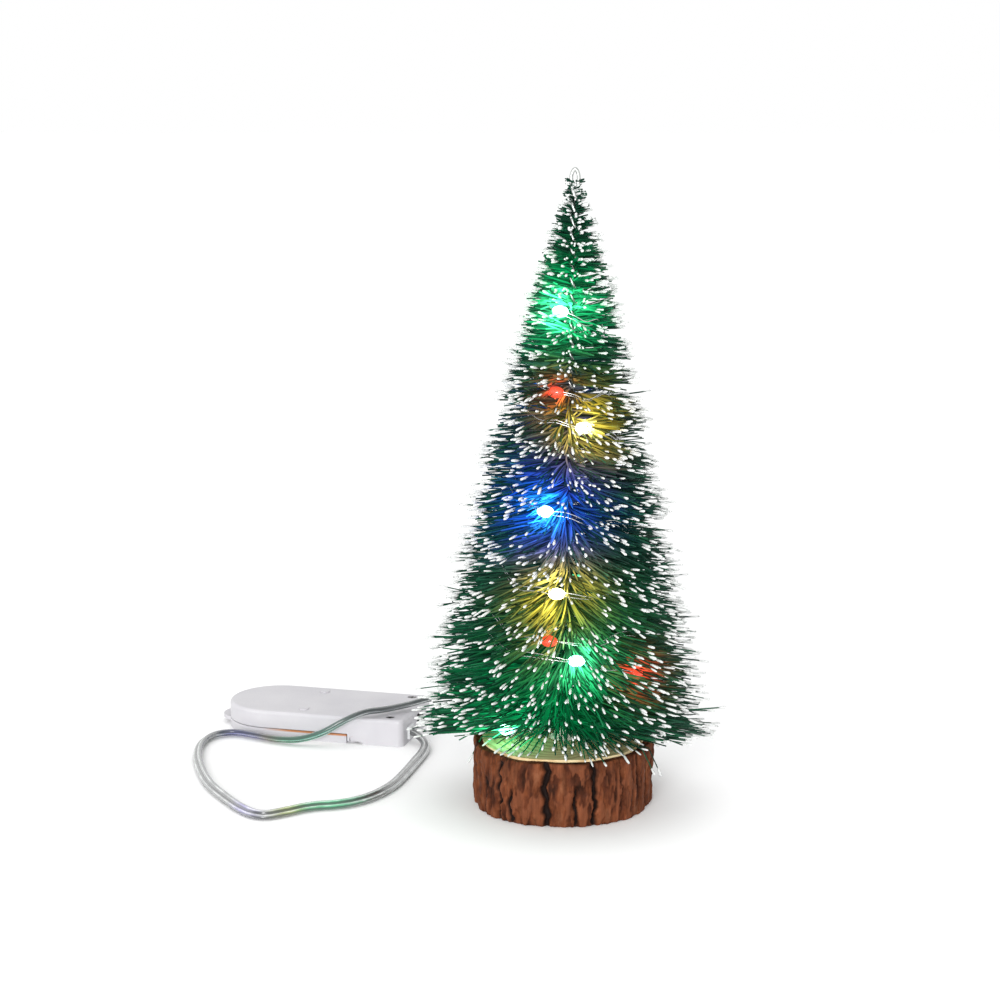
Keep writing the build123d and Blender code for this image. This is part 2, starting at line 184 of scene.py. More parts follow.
# ---------------------------------------------------------------- mesh helpers

def skin(rings):
    """Vertices and faces of closed tubes; rings is an array of tubes, rings, corners and xyz."""
    count, rows, corners, _ = rings.shape
    index = np.arange(count * rows * corners).reshape(count, rows, corners)
    after = np.roll(index, -1, axis=2)
    sides = np.stack([index[:, :-1], after[:, :-1], after[:, 1:], index[:, 1:]], axis=-1).reshape(-1, 4)
    faces = sides.tolist()
    faces += index[:, 0, ::-1].tolist()
    faces += index[:, -1, :].tolist()
    return rings.reshape(-1, 3), faces


def mesh_piece(name, vertices, faces, mat, body="root", smooth=True):
    """A mesh object in metres, from vertices in mm, that rides on a body."""
    data = bpy.data.meshes.new(name)
    data.from_pydata((np.asarray(vertices) * MM).tolist(), [], faces)
    if smooth:
        data.shade_smooth()
    data.materials.append(mat)
    piece = bpy.data.objects.new(name, data)
    bpy.context.collection.objects.link(piece)
    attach(piece, body)
    return piece


def store(piece, name, values):
    """A number or a colour for every vertex of a piece."""
    values = np.asarray(values, float)
    if values.ndim == 1:
        layer = piece.data.attributes.new(name, "FLOAT", "POINT")
        layer.data.foreach_set("value", values)
        return
    layer = piece.data.attributes.new(name, "FLOAT_COLOR", "POINT")
    colours = np.concatenate([values, np.ones((len(values), 1))], axis=1)
    layer.data.foreach_set("color", colours.ravel())


def unit(vectors):
    """The same directions, one unit long."""
    return vectors / np.linalg.norm(vectors, axis=-1, keepdims=True)


def across(lines):
    """Two directions square to each line at each of its points: one level, one upward."""
    along = unit(np.gradient(lines, axis=-2))
    level = unit(np.cross(along, (0.0, 0.0, 1.0)))
    return level, np.cross(level, along)


def tubes(lines, radii, corners, wobble=0.0):
    """Round tubes along many lines; radii is one number for each point."""
    level, upward = across(lines)
    turn = np.arange(corners) * 2 * np.pi / corners
    reach = radii[..., None] * np.ones(corners)
    if wobble:
        reach = reach * rng.uniform(1 - wobble, 1 + wobble, reach.shape)
    rings = (lines[:, :, None, :]
             + (reach * np.cos(turn))[..., None] * level[:, :, None, :]
             + (reach * np.sin(turn))[..., None] * upward[:, :, None, :])
    return skin(rings)


def in_world(points):
    """Points of the leaning tree's frame, in the shared frame, in mm."""
    x, y, z = np.moveaxis(np.asarray(points, float), -1, 0)
    c, s = math.cos(STEM_LEAN), math.sin(STEM_LEAN)
    return np.stack([x * c + z * s + STEM_FOOT_X, y, z * c - x * s], axis=-1)


def brush_radius(height):
    """How far the longest bristles reach at a height."""
    share = np.clip((height - BRUSH_BOTTOM) / (BRUSH_TOP - BRUSH_BOTTOM), 0.0, 1.0)
    return BRUSH_RADIUS * (1 - share) ** BRUSH_BULGE


def string_height(turned):
    """The string's height after so many degrees of winding."""
    turns, heights = zip(*STRING_CLIMB)
    return np.interp(turned, turns, heights)


def string_place(turned):
    """The string's place after so many degrees of winding, in the tree's frame."""
    height = string_height(turned)
    reach = STRING_DEPTH * brush_radius(height)
    angle = np.radians(turned)
    return np.stack([-reach * np.sin(angle), -reach * np.cos(angle), height], axis=-1)


LAMP_PLACES = np.array([in_world(string_place(turned)) for turned, _, _ in LAMPS] + [in_world(FIRST_LAMP)])
NEAR_COLOURS = np.array([colour[0] for _, colour, _ in LAMPS] + [GREEN[0]])
FAR_COLOURS = np.array([colour[1] for _, colour, _ in LAMPS] + [GREEN[1]])
LAMP_REACH = np.array([colour[2] for _, colour, _ in LAMPS] + [GREEN[2]])
LAMP_POWERS = np.array([power for _, _, power in LAMPS] + [FIRST_POWER])


def lamp_glow(points):
    """The lamps' light at each point, as a colour: hot beside a lamp, and faint 15 mm away."""
    apart = np.linalg.norm(points[:, None, :] - LAMP_PLACES[None, :, :], axis=2)
    near = LAMP_POWERS * 3.2 * np.exp(-(apart / (0.9 * LAMP_REACH)) ** 2)
    far = LAMP_POWERS * 2.6 * np.exp(-apart / LAMP_REACH)
    return near @ NEAR_COLOURS + far @ FAR_COLOURS


def green_haze(points):
    """The two lowest green lamps' light, spread through the foot of the brush."""
    apart = np.linalg.norm(points[:, None, :] - LAMP_PLACES[None, LOW_GREEN_LAMPS, :], axis=2)
    return (0.34 * np.exp(-apart / 13.0)).sum(axis=1)[:, None] * np.array(GREEN[1])


# ---------------------------------------------------------------- camera, light and floor

def add_camera():
    """A long lens that looks down on the table at 11.7 degrees."""
    data = bpy.data.cameras.new("camera")
    data.sensor_width = 36.0
    data.lens = 95.04
    data.clip_start = 0.01
    camera = bpy.data.objects.new("camera", data)
    camera.location = (-0.01894, -0.76487, 0.25148)
    camera.rotation_euler = (math.radians(90 - 11.717), 0.0, 0.0)
    bpy.context.collection.objects.link(camera)
    bpy.context.scene.camera = camera


def add_light(name, place_at, size, power):
    """A round soft lamp aimed at the middle of the tree."""
    data = bpy.data.lights.new(name, "AREA")
    data.shape = "DISK"
    data.size = size
    data.energy = power
    light = bpy.data.objects.new(name, data)
    light.location = place_at
    aim = Vector((0.0, 0.0, 0.08)) - light.location
    light.rotation_euler = aim.to_track_quat("-Z", "Y").to_euler()
    bpy.context.collection.objects.link(light)


def add_surroundings():
    """A plain pale floor, a white room, a soft key lamp and faint light from straight above."""
    scene = bpy.context.scene
    scene.view_settings.view_transform = "Standard"
    scene.world = bpy.data.worlds.new("room")
    scene.world.use_nodes = True
    background = scene.world.node_tree.nodes["Background"]
    background.inputs["Color"].default_value = (1.0, 1.0, 1.0, 1.0)
    background.inputs["Strength"].default_value = 1.0
    mat, shader = material("floor_paper", Roughness=0.9)
    shade = ramp(mat, grain(mat, 30.0), (0.3, (0.93, 0.93, 0.93)), (0.7, (0.95, 0.95, 0.95)))
    link(mat, shade, shader.inputs["Base Color"])
    half = 3.0
    data = bpy.data.meshes.new("floor")
    corners = [(-half, -half, 0), (half, -half, 0), (half, half, 0), (-half, half, 0)]
    data.from_pydata(corners, [], [(0, 1, 2, 3)])
    data.materials.append(mat)
    floor = bpy.data.objects.new("floor", data)
    bpy.context.collection.objects.link(floor)
    add_light("key", (-0.25, -1.1, 0.32), 0.5, 11.0)
    sun = bpy.data.lights.new("ceiling", "SUN")
    sun.angle = math.radians(60)
    sun.energy = 0.3
    bpy.context.collection.objects.link(bpy.data.objects.new("ceiling", sun))


# ---------------------------------------------------------------- the lead

# The lead's centre line, in mm: out of the box's end, along the table, over the box and into the tree.
LEAD_ROUTE = (
    (-47.6, 60.7, 3.4), (-44.3, 56.2, 2.8), (-42.5, 50.4, 1.9), (-43.4, 43.6, 1.5), (-45.6, 34.0, 1.5),
    (-48.6, 20.9, 1.5), (-52.0, 8.4, 1.5), (-58.4, -2.8, 1.5), (-66.6, -8.8, 1.5), (-75.6, -10.2, 1.5),
    (-82.6, -15.6, 1.5), (-89.4, -19.8, 1.5), (-95.6, -14.0, 1.5), (-102.0, -2.4, 1.5), (-108.4, 10.6, 1.5),
    (-112.8, 26.6, 1.5), (-115.6, 42.0, 1.5), (-115.6, 56.6, 1.5), (-112.0, 64.6, 1.5), (-105.4, 66.6, 1.5),
    (-98.0, 62.4, 1.5), (-91.0, 57.8, 1.5), (-83.6, 55.8, 2.0), (-76.0, 54.8, 4.6), (-69.4, 55.2, 8.6),
    (-63.0, 57.4, 11.0), (-57.0, 61.0, 10.6), (-51.4, 65.0, 10.6), (-46.4, 68.2, 11.0), (-40.4, 69.4, 12.4),
    (-33.4, 66.6, 14.6), (-28.8, 60.8, 16.6), (-27.8, 53.6, 18.5), (-30.6, 41.8, 21.4), (-33.1, 28.6, 24.8),
    (-32.7, 16.8, 27.2), (-28.7, 8.8, 28.6), (-23.7, 2.7, 29.4),
)
# The two strands of the jacket, the wires in them, and how far the lead has rolled over once it is clear of
# the box.
STRAND_OFFSET = 0.78
STRAND_RADIUS = 0.84
STRAND_CORNERS = 16
CORE_RADIUS = 0.46
LEAD_ROLL = math.radians(36)
ROLL_RUN = 25.0


def lead_line():
    """Points in mm along the smooth spline whose control points are the route's."""
    data = bpy.data.curves.new("lead_route", "CURVE")
    data.dimensions = "3D"
    spline = data.splines.new("NURBS")
    spline.points.add(len(LEAD_ROUTE) - 1)
    for point, (x, y, z) in zip(spline.points, LEAD_ROUTE):
        point.co = (x * MM, y * MM, z * MM, 1.0)
    spline.order_u = 3
    spline.use_endpoint_u = True
    spline.resolution_u = 8
    guide = bpy.data.objects.new("lead_route", data)
    sampled = bpy.data.meshes.new_from_object(guide)
    line = np.array([vertex.co for vertex in sampled.vertices]) / MM
    bpy.data.objects.remove(guide)
    bpy.data.meshes.remove(sampled)
    return line


def lead_jacket_material():
    """Clear PVC with painted light: painted shade at its edges, a painted highlight along each strand's ridge,
    and lamp colours painted in as light caught in it.
    """
    mat, shader = material("clear_pvc", Roughness=0.2, IOR=1.45, Transmission_Weight=0.22, Coat_Weight=0.5)
    run = attribute(mat, "run").outputs["Fac"]
    crest = attribute(mat, "crest").outputs["Fac"]
    # The jacket's grey, with bands of lamp colour painted along its length as lamp light caught in it.
    tone_and_lamp_light = ramp(
        mat, run,
        (0.0, (0.26, 0.27, 0.27)), (0.19, (0.27, 0.29, 0.28)), (0.225, (0.10, 0.50, 0.25)),
        (0.25, (0.12, 0.40, 0.20)), (0.27, (0.36, 0.42, 0.14)), (0.29, (0.30, 0.31, 0.30)),
        (0.315, (0.26, 0.24, 0.50)), (0.34, (0.30, 0.31, 0.31)), (0.545, (0.22, 0.26, 0.24)),
        (0.57, (0.07, 0.08, 0.36)), (0.592, (0.08, 0.09, 0.32)), (0.607, (0.20, 0.17, 0.10)),
        (0.625, (0.06, 0.36, 0.19)), (0.66, (0.08, 0.40, 0.28)), (0.70, (0.20, 0.24, 0.24)),
        (1.0, (0.24, 0.25, 0.25)),
    )
    # Painted highlight and shade: lit is strongest along each strand's ridge and broken by a noisy streak;
    # away from it the jacket is painted dark, and along it near-white.
    streak = spread(mat, grain(mat, 220.0, stretch=(1, 1, 2)), 0.3, 0.7, -0.16, 0.16)
    lit = node(mat, "Math", {0: crest, 1: streak}, operation="ADD").outputs[0]
    edge = mix(mat, 0.8, tone_and_lamp_light, (0.045, 0.048, 0.050))
    body = mix(mat, spread(mat, lit, 0.15, 0.6, 0.0, 1.0), edge, tone_and_lamp_light)
    bright = mix(mat, spread(mat, lit, 0.75, 1.05, 0.0, 0.75), body, (0.88, 0.89, 0.89))
    link(mat, bright, shader.inputs["Base Color"])
    bump(mat, shader, grain(mat, 900.0), 0.25, 0.0001)
    return mat


def lead_core_material():
    """Tinned strands seen through the jacket."""
    mat, shader = material("tinned_strands", Metallic=0.9, Roughness=0.32)
    run = node(mat, "Math", {0: attribute(mat, "run").outputs["Fac"], 1: 2600.0}, operation="MULTIPLY")
    lay = node(mat, "Math", {0: run.outputs[0]}, operation="SINE").outputs[0]
    # Painted shade and highlight: the strands are painted lighter on their raised turns and darker in the
    # grooves between them.
    raised = spread(mat, lay, -1.0, 1.0, 0.0, 1.0)
    shade = ramp(mat, raised, (0.0, (0.36, 0.37, 0.38)), (1.0, (0.80, 0.82, 0.82)))
    link(mat, shade, shader.inputs["Base Color"])
    bump(mat, shader, lay, 0.6, 0.00012)
    return mat


def add_lead():
    """The flat twin lead: a clear jacket of two joined strands, each round its own core."""
    line = lead_line()
    steps = np.linalg.norm(np.diff(line, axis=0), axis=1)
    run = np.concatenate([[0.0], np.cumsum(steps)])
    level, upward = across(line[None])
    roll = LEAD_ROLL * np.clip(run / ROLL_RUN, 0.0, 1.0)
    wide = np.cos(roll)[:, None] * level[0] + np.sin(roll)[:, None] * upward[0]
    tall = np.cos(roll)[:, None] * upward[0] - np.sin(roll)[:, None] * level[0]
    around = np.radians(np.linspace(-150, 150, STRAND_CORNERS))
    half = np.stack([STRAND_OFFSET + STRAND_RADIUS * np.cos(around), STRAND_RADIUS * np.sin(around)], axis=1)
    outline = np.concatenate([half, -half])
    # Where the painted highlight lies round each strand's outline.
    crest = np.tile(np.exp(-((np.abs(np.degrees(around)) - 85) / 24) ** 2), 2)
    rings = (line[:, None, :]
             + outline[None, :, :1] * wide[:, None, :]
             + outline[None, :, 1:] * tall[:, None, :])
    vertices, faces = skin(rings[None])
    jacket = mesh_piece("lead_jacket", vertices, faces, lead_jacket_material())
    store(jacket, "run", np.repeat(run / run[-1], len(outline)))
    store(jacket, "crest", np.tile(crest, len(run)))
    cores = np.stack([line - STRAND_OFFSET * wide, line + STRAND_OFFSET * wide])
    vertices, faces = tubes(cores, np.full(cores.shape[:2], CORE_RADIUS), 8)
    core = mesh_piece("lead_cores", vertices, faces, lead_core_material())
    store(core, "run", np.tile(np.repeat(run / run[-1], 8), 2))
    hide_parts("lead")


# ---------------------------------------------------------------- the log slice

# Deep cracks of the bark: degrees round, half width, depth, and the heights between which each one runs.
FRONT_CRACKS = (
    (-135.5, 0.65, 1.7, 0.0, 20.0), (-126.5, 0.7, 1.7, 0.0, 9.5), (-102.5, 1.1, 2.1, 0.0, 20.0),
    (-83.0, 0.6, 1.5, 0.0, 12.0), (-70.5, 0.9, 2.0, 0.0, 20.0), (-50.0, 0.35, 0.9, 3.0, 20.0),
)
BACK_CRACKS = 15
BARK_STEPS = 480
BARK_ROWS = 60
BARK_TOP_STEPS = 4


def bark_cracks():
    """The front cracks, and as many again round the sides and back."""
    cracks = list(FRONT_CRACKS)
    for degrees in np.linspace(-38.0, 208.0, BACK_CRACKS) + rng.uniform(-5, 5, BACK_CRACKS):
        low = 0.0 if rng.random() < 0.6 else rng.uniform(0, 9)
        high = BASE_HEIGHT if rng.random() < 0.6 else rng.uniform(11, 20)
        cracks.append((degrees, rng.uniform(0.4, 1.1), rng.uniform(1.2, 2.1), low, high))
    return cracks


def bark_material():
    """Red-brown bark: worn plates, fibres that run upward, and painted shade that makes the cracks near-black.
    """
    mat, shader = material("pine_bark", Roughness=0.72, Specular_IOR_Level=0.1)
    crack = attribute(mat, "crack").outputs["Fac"]
    flake = attribute(mat, "flake").outputs["Fac"]
    base = ramp(
        mat, grain(mat, 260.0, 6.0, (1, 1, 0.45)),
        (0.30, (0.022, 0.007, 0.003)), (0.44, (0.070, 0.019, 0.008)), (0.58, (0.140, 0.040, 0.015)),
        (0.78, (0.250, 0.095, 0.045)),
    )
    worn = mix(mat, spread(mat, flake, 0.45, 0.9, 0.0, 0.55), base, (0.19, 0.060, 0.026))
    fibres = spread(mat, grain(mat, 700.0, 3.0, (1, 1, 0.12)), 0.3, 0.7, 0.55, 1.25)
    grey = node(mat, "CombineColor", {0: fibres, 1: fibres, 2: fibres}).outputs[0]
    streaked = mix(mat, 1.0, worn, grey, "MULTIPLY")
    # Painted shade: the cracks are painted near-black.
    dark = mix(mat, spread(mat, crack, 0.12, 0.75, 0.0, 1.0), streaked, (0.010, 0.005, 0.004))
    link(mat, dark, shader.inputs["Base Color"])
    link(mat, spread(mat, grain(mat, 420.0), 0.3, 0.7, 0.55, 0.85), shader.inputs["Roughness"])
    bump(mat, shader, grain(mat, 900.0, 6.0, (1, 1, 0.4)), 0.8, 0.0004)
    return mat


def bark_relief(heights, angles):
    """The bark's radius, and how cracked and how raised it is, at each height and angle."""
    shape = (len(heights), len(angles))
    radius = np.zeros(shape)
    crack_share = np.zeros(shape)
    flakes = np.zeros(shape)
    for row, height in enumerate(heights):
        for step, angle in enumerate(angles):
            x, y = BASE_RADIUS * math.cos(angle), BASE_RADIUS * math.sin(angle)
            plate = noise.noise(Vector((x * 0.16, y * 0.16, height * 0.07)))
            ledge = noise.fractal(Vector((x * 0.45 + 9, y * 0.45, height * 0.13)), 0.8, 2.1, 3)
            flakes[row, step] = 0.5 + 0.5 * math.tanh(7 * ledge)
            fine = noise.noise(Vector((x * 1.5, y * 1.5, height * 0.5)))
            radius[row, step] = 0.7 * plate + 0.30 * math.tanh(7 * ledge) + 0.24 * fine
    for number, (degrees, half_width, depth, low, high) in enumerate(bark_cracks()):
        for row, height in enumerate(heights):
            wander = noise.fractal(Vector((number * 7.3, height * 0.22, 0.0)), 1.0, 2.0, 4)
            away = (angles - math.radians(degrees) - 0.04 * wander + np.pi) % (2 * np.pi) - np.pi
            begun = min(1.0, max(0.0, (height - low + 1.2) / 2.4))
            left = min(1.0, max(0.0, (high - height + 1.2) / 2.4))
            width = half_width * (0.8 + 0.5 * noise.noise(Vector((number * 3.1, height * 0.35, 4.0))))
            share = begun * left / (1.0 + (away * BASE_RADIUS / width) ** 4)
            radius[row] -= depth * share
            crack_share[row] = np.maximum(crack_share[row], share * min(1.0, depth / 1.7))
    smooth = BASE_RADIUS + 0.35 * np.sin(2 * angles + 0.6)
    smooth = smooth + 0.3 * np.sin(5 * angles) + 0.22 * np.sin(9 * angles + 1.2)
    edge = np.minimum(heights, BARK_TOP - heights)[:, None]
    outer = smooth + radius - 0.5 * np.exp(-edge / 0.7) - 0.3
    return np.clip(outer, WOOD_RADIUS + 0.25, BASE_RADIUS + 0.9), crack_share, flakes


def add_bark():
    """Bark with real cracks and flaking plates, open in the middle for the wood."""
    angles = np.arange(BARK_STEPS) * 2 * np.pi / BARK_STEPS
    heights = np.linspace(0.0, BARK_TOP, BARK_ROWS)
    outer, crack_share, flakes = bark_relief(heights, angles)
    outer[0] -= 0.4
    inner = WOOD_RADIUS - 0.3
    top = [outer[-1] + (inner - outer[-1]) * (k + 1) / BARK_TOP_STEPS for k in range(BARK_TOP_STEPS)]
    loops = [(reach, np.full(BARK_STEPS, height)) for reach, height in zip(outer, heights)]
    loops += [
        (reach, BARK_TOP + 0.2 * np.sin(7 * angles + k) * (k < BARK_TOP_STEPS - 1))
        for k, reach in enumerate(top)
    ]
    loops += [(np.full(BARK_STEPS, inner), np.zeros(BARK_STEPS))]
    vertices = np.concatenate([
        np.stack([reach * np.cos(angles), reach * np.sin(angles), height], axis=1) for reach, height in loops
    ])
    index = np.arange(len(loops) * BARK_STEPS).reshape(len(loops), BARK_STEPS)
    below = np.concatenate([index, index[:1]])
    after = np.roll(below, -1, axis=1)
    faces = np.stack([below[:-1], after[:-1], after[1:], below[1:]], axis=-1).reshape(-1, 4).tolist()
    bark = mesh_piece("bark_shell", vertices, faces, bark_material())
    unseen = (len(loops) - BARK_ROWS) * BARK_STEPS
    # How much painted shade darkens each point: the cracks' share round the side, and a quarter on the rings
    # over the top and inside.
    store(bark, "crack", np.concatenate([crack_share.ravel(), np.full(unseen, 0.25)]))
    store(bark, "flake", np.concatenate([flakes.ravel(), np.full(unseen, 0.3)]))
    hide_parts("bark_ring")


def wood_material():
    """A sawn end of pale pine: growth rings and saw marks."""
    mat, shader = material("sawn_pine", Roughness=0.62)
    warp = node(mat, "TexNoise", {"Vector": place(mat), "Scale": 70.0, "Detail": 3.0}).outputs["Color"]
    bent = node(
        mat, "MixRGB", {"Fac": 0.006, "Color1": place(mat), "Color2": warp}, blend_type="ADD",
    ).outputs[0]
    rings = node(
        mat, "TexWave", {"Vector": bent, "Scale": 118.0, "Distortion": 1.2, "Detail": 2.0},
        wave_type="RINGS", rings_direction="Z",
    ).outputs["Fac"]
    tone = ramp(mat, rings, (0.0, (0.88, 0.72, 0.42)), (0.6, (0.82, 0.64, 0.35)), (1.0, (0.62, 0.42, 0.20)))
    saw = grain(mat, 500.0, 3.0, (0.12, 1, 1))
    shade = mix(mat, spread(mat, saw, 0.35, 0.7, 0.0, 0.25), tone, (0.70, 0.50, 0.27))
    link(mat, shade, shader.inputs["Base Color"])
    bump(mat, shader, saw, 0.5, 0.00015)
    return mat


# ---------------------------------------------------------------- bristles

# How many bristles there are: all the way up, in the flat fan at the bottom, and hanging over the wood.
BRISTLES = 11500
BOTTOM_FAN = 520
SKIRT = 40
TIPPED_SHARE = 0.29
# The points of each bristle's centre line, as shares of its length, and its sides.
LINE_STEPS = np.array([0.0, 0.25, 0.5, 0.7, 0.86, 1.0])
BRISTLE_SIDES = 3
TIP_SIDES = 6
TIP_ALONG = np.array([-0.92, -0.55, -0.18, 0.06])
TIP_PROFILE = np.array([[0.6, 0.92, 1.0, 0.6]])
CLUMP_TURN = math.radians(13)
# Bristles bent aside in front of a lamp: the way that the front lamps face, how near to that line they would
# be, and the share of them that is left out.
LAMPS_FACE = np.array([0.0, -0.962, 0.275])
PARTED_WIDTH = 1.9
PARTED_SHARE = 0.8


def string_groove(azimuth, height):
    """How far a bristle is pressed up or down where the string crosses its direction, as a share."""
    turned = np.degrees(np.arctan2(-np.cos(azimuth), -np.sin(azimuth)))
    push = np.zeros_like(height)
    for lap in range(-1, 7):
        at = turned + 360.0 * lap
        inside = (at > STRING_CLIMB[0][0]) & (at < STRING_CLIMB[-1][0])
        above = height - string_height(at)
        push += np.where(inside, np.sign(above) * np.exp(-np.abs(above) / 3.4), 0.0)
    return push


def clump_draws(height, azimuth):
    """Three random numbers for each bristle that its neighbours in the same tuft share."""
    row = np.floor(height / (STEM_PITCH / 2)).astype(int)
    sector = np.floor((azimuth % (2 * np.pi)) / CLUMP_TURN).astype(int)
    draws = rng.normal(0, 1, (64, 64, 3))
    return draws[row % 64, sector % 64]


def parted(lines):
    """Which bristles to leave out, since they would cover a lamp on the front of the string."""
    hidden = np.zeros(len(lines), bool)
    for lamp in LAMP_PLACES[list(FRONT_LAMPS)]:
        away = lines[:, 2:] - lamp
        ahead = np.clip(away @ LAMPS_FACE, 0.0, None)
        off_line = np.linalg.norm(away - ahead[..., None] * LAMPS_FACE, axis=2)
        hidden |= ((off_line < PARTED_WIDTH) & (ahead > 0)).any(axis=1)
    return hidden & (rng.random(len(lines)) < PARTED_SHARE)


def bristle_lines():
    """Centre lines of the bristles, in the tree's frame, in mm, with which ones carry a flocked tip."""
    fan = rng.uniform(BRUSH_BOTTOM, BRUSH_BOTTOM + 4.0, BOTTOM_FAN)
    share = rng.uniform(0, 1, BRISTLES)
    share = np.where(rng.random(BRISTLES) < 0.35, 1 - np.sqrt(share), share)
    height = np.concatenate([fan, BRUSH_BOTTOM + 1.0 + share * (BRUSH_TOP - BRUSH_BOTTOM - 1.0)])
    count = len(height)
    azimuth = -2 * np.pi * height / STEM_PITCH + np.pi * rng.integers(0, 2, count) + rng.normal(0, 0.4, count)
    azimuth[:BOTTOM_FAN] = rng.uniform(0, 2 * np.pi, BOTTOM_FAN)
    tuft = clump_draws(height, azimuth)
    share = (height - BRUSH_BOTTOM) / (BRUSH_TOP - BRUSH_BOTTOM)
    rise = np.radians(-2.0 + 18.0 * share ** 2 + 4.4 * tuft[:, 0] + rng.normal(0, 2.8, count))
    rise[:BOTTOM_FAN] = np.radians(rng.normal(-2.0, 2.2, BOTTOM_FAN))
    tipped = rng.random(count) < TIPPED_SHARE - 0.05 * share
    full = brush_radius(height)
    full = brush_radius(height + full * np.sin(rise))
    stretch = np.where(tipped, rng.normal(0.975, 0.04, count), rng.uniform(0.6, 0.93, count))
    stretch = stretch + 0.02 * tuft[:, 1]
    length = np.maximum(full * stretch, 1.6) + rng.uniform(0.0, 1.2, count)
    groove = string_groove(azimuth, height) * np.clip(full / 20.0, 0.2, 1.0)
    toward_front = np.clip(-np.sin(azimuth), 0.0, 1.0)
    lift = 12.0 * toward_front ** 0.7 * np.exp(-(height - BRUSH_BOTTOM) / 9.0)
    droop = rng.normal(0.035, 0.03, count) * length
    bend = (0.05 * tuft[:, 2] + rng.normal(0.0, 0.045, count)) * length
    t = LINE_STEPS[None, :]
    reach = 0.4 + length[:, None] * np.cos(rise)[:, None] * t
    aside = bend[:, None] * t ** 2
    z = (height[:, None] + length[:, None] * np.sin(rise)[:, None] * t - droop[:, None] * t ** 2
         + 2.8 * groove[:, None] * t ** 2)
    z = np.maximum(z, BRUSH_BOTTOM - 4.5 * t) + lift[:, None] * t
    x = reach * np.cos(azimuth)[:, None] - aside * np.sin(azimuth)[:, None]
    y = reach * np.sin(azimuth)[:, None] + aside * np.cos(azimuth)[:, None]
    over_base = np.hypot(x, y) < BASE_RADIUS + 1.0
    z = np.where(over_base, np.maximum(z, BASE_HEIGHT + 0.6), z)
    lines = np.stack([x, y, z], axis=-1)
    tipped &= (rng.random(count) < 0.55) | (toward_front < 0.3) | (height > 31.0)
    clear = ~parted(in_world(lines))
    return lines[clear], tipped[clear]


def skirt_lines():
    """The lowest bristles, which lie over the wood and hang past its rim."""
    azimuth = rng.uniform(0, 2 * np.pi, SKIRT)
    height = rng.uniform(24.5, 28.5, SKIRT)
    length = rng.uniform(23.0, 30.5, SKIRT)
    hanging = rng.random(SKIRT) < 0.16
    length = np.where(hanging, length + 3.0, length)
    drop = height - np.where(hanging, rng.uniform(11.0, 15.0, SKIRT), rng.uniform(18.5, 21.0, SKIRT))
    t = LINE_STEPS[None, :]
    reach = 0.4 + length[:, None] * t
    z = height[:, None] - drop[:, None] * t ** 2.6
    z = np.where(reach < BASE_RADIUS + 1.4, np.maximum(z, BASE_HEIGHT + 0.4), z)
    twist = azimuth[:, None] + rng.normal(0, 0.05, SKIRT)[:, None] * t
    return np.stack([reach * np.cos(twist), reach * np.sin(twist), z], axis=-1)


def bristle_material():
    """Dark green cut film: its colour varies from bristle to bristle, and it glows where lamps light it."""
    mat, shader = material("green_film", Roughness=0.5, Emission_Strength=1.0, Specular_IOR_Level=0.12)
    shade = attribute(mat, "shade").outputs["Fac"]
    tone = ramp(
        mat, shade,
        (0.0, (0.003, 0.014, 0.009)), (0.6, (0.005, 0.042, 0.022)), (1.0, (0.012, 0.110, 0.050)),
    )
    mottled = mix(mat, spread(mat, grain(mat, 500.0), 0.35, 0.65, 0.0, 0.5), tone, (0.006, 0.044, 0.030))
    link(mat, mottled, shader.inputs["Base Color"])
    link(mat, attribute(mat, "glow").outputs["Color"], shader.inputs["Emission Color"])
    link(mat, spread(mat, grain(mat, 900.0), 0.3, 0.7, 0.34, 0.5), shader.inputs["Roughness"])
    return mat


def tip_material():
    """White flock: matt, grainy, tinted by the nearest lamp."""
    mat, shader = material("white_flock", Roughness=0.85, Emission_Strength=1.0)
    grains = grain(mat, 1800.0, 3.0)
    shade = ramp(mat, grains, (0.3, (0.50, 0.52, 0.51)), (0.6, (0.74, 0.75, 0.74)))
    link(mat, shade, shader.inputs["Base Color"])
    link(mat, attribute(mat, "glow").outputs["Color"], shader.inputs["Emission Color"])
    bump(mat, shader, grains, 0.7, 0.0002)
    return mat


